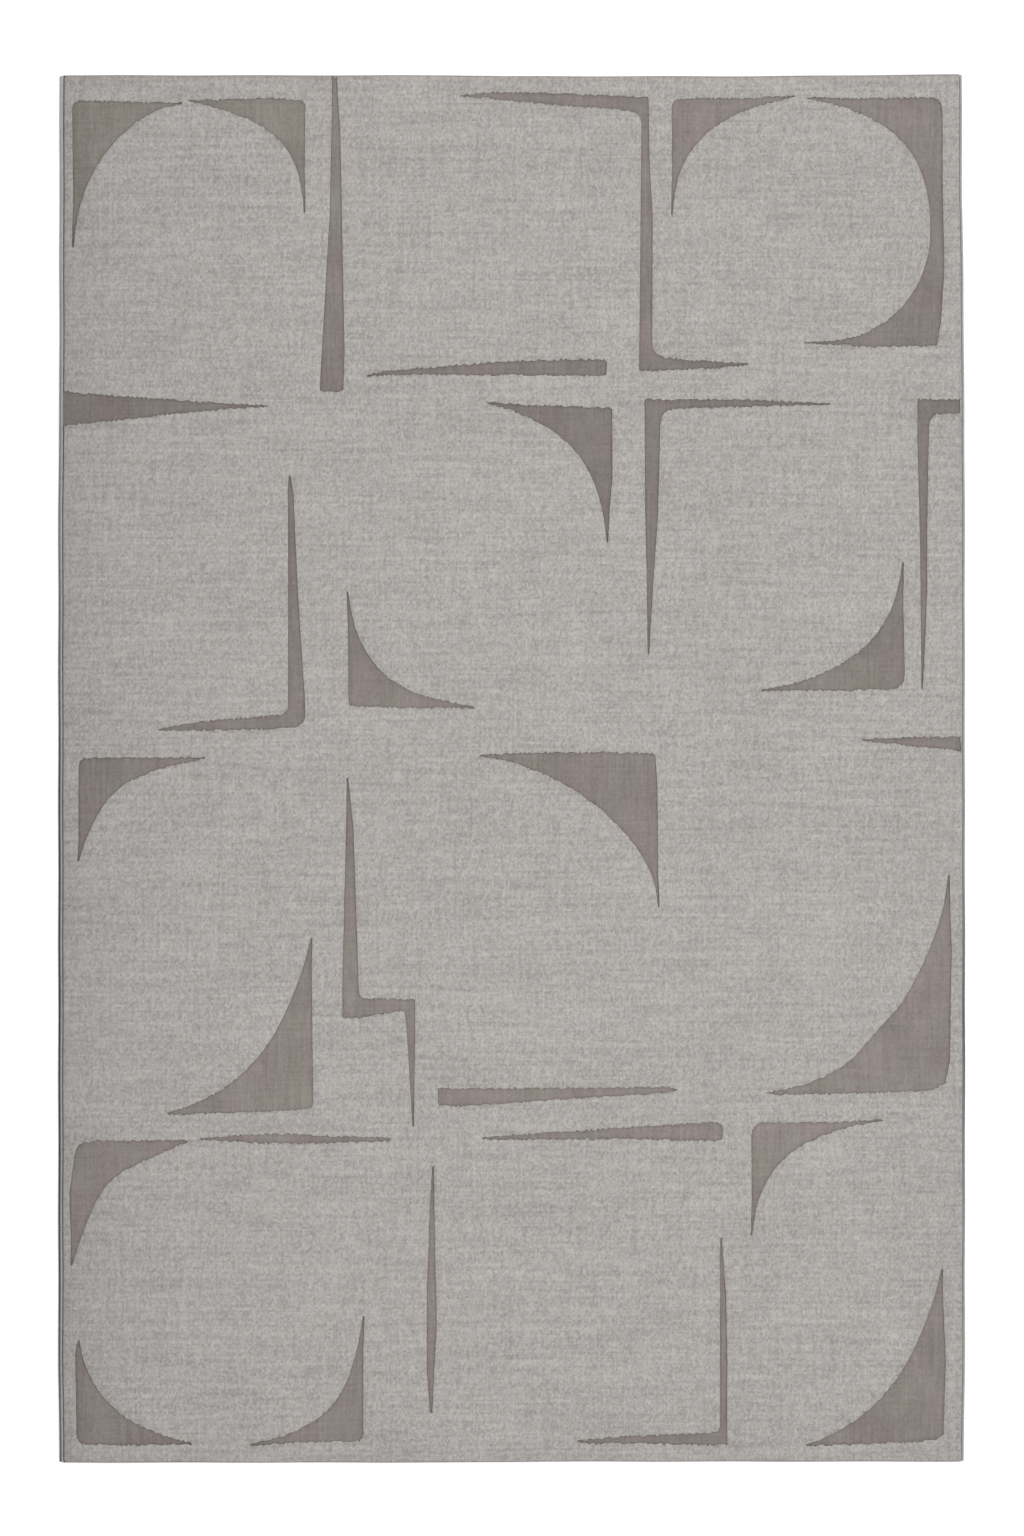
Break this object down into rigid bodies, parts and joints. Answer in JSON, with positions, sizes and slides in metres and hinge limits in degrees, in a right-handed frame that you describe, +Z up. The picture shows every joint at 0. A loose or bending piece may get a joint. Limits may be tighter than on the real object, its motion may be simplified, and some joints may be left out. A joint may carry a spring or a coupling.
{
  "type": "area rug",
  "caption": "Rectangular cut-pile area rug with a raised light ground, recessed darker geometric figures, serged long sides and turned-under ends.",
  "frame": {"origin": "on the floor, under the middle of the rug", "axes": "+X across the rug, +Y along its length, +Z up out of the pile"},
  "size_m": [1.5, 2.3, 0.011],
  "materials": {
    "ground_yarn": "matte heathered light grey cut pile",
    "figure_yarn": "matte taupe velour, sheared low",
    "serging_yarn": "matte grey overlocking yarn",
    "stitch_thread": "dark sewing thread",
    "woven_backing": "plain woven cloth",
    "latex": "matte dried latex coat",
    "lining": "matte natural woven lining cloth",
    "hem_cloth": "matte dark woven cloth, turned under"
  },
  "bodies": {
    "root": {"end_hem_bottom": "hem_cloth", "end_hem_top": "hem_cloth", "ground_pile": "ground_yarn", "latex_coat": "latex", "lining_cloth": "lining", "lockstitch_left": "stitch_thread", "lockstitch_right": "stitch_thread", "low_pile_angle_bottom_middle": "figure_yarn", "low_pile_angle_left": "figure_yarn", "low_pile_angle_right": "figure_yarn", "low_pile_angle_top_middle": "figure_yarn", "low_pile_angle_upper_right": "figure_yarn", "low_pile_beam_center": "figure_yarn", "low_pile_beam_low_center": "figure_yarn", "low_pile_beam_upper_middle": "figure_yarn", "low_pile_hook_top_right": "figure_yarn", "low_pile_leaf_low_left": "figure_yarn", "low_pile_post_low_left": "figure_yarn", "low_pile_post_top": "figure_yarn", "low_pile_sail_bottom_left": "figure_yarn", "low_pile_sail_bottom_middle": "figure_yarn", "low_pile_sail_bottom_right": "figure_yarn", "low_pile_sail_center": "figure_yarn", "low_pile_sail_left": "figure_yarn", "low_pile_sail_low_left": "figure_yarn", "low_pile_sail_low_right": "figure_yarn", "low_pile_sail_lower_left": "figure_yarn", "low_pile_sail_lower_right": "figure_yarn", "low_pile_sail_middle_left": "figure_yarn", "low_pile_sail_middle_right": "figure_yarn", "low_pile_sail_top_left": "figure_yarn", "low_pile_sail_top_left_inner": "figure_yarn", "low_pile_sail_top_right": "figure_yarn", "low_pile_sail_upper_middle": "figure_yarn", "low_pile_step_center": "figure_yarn", "low_pile_wedge_left": "figure_yarn", "low_pile_wedge_right": "figure_yarn", "serging_left": "serging_yarn", "serging_right": "serging_yarn", "tuft_cloth": "woven_backing"}
  },
  "joints": []
}
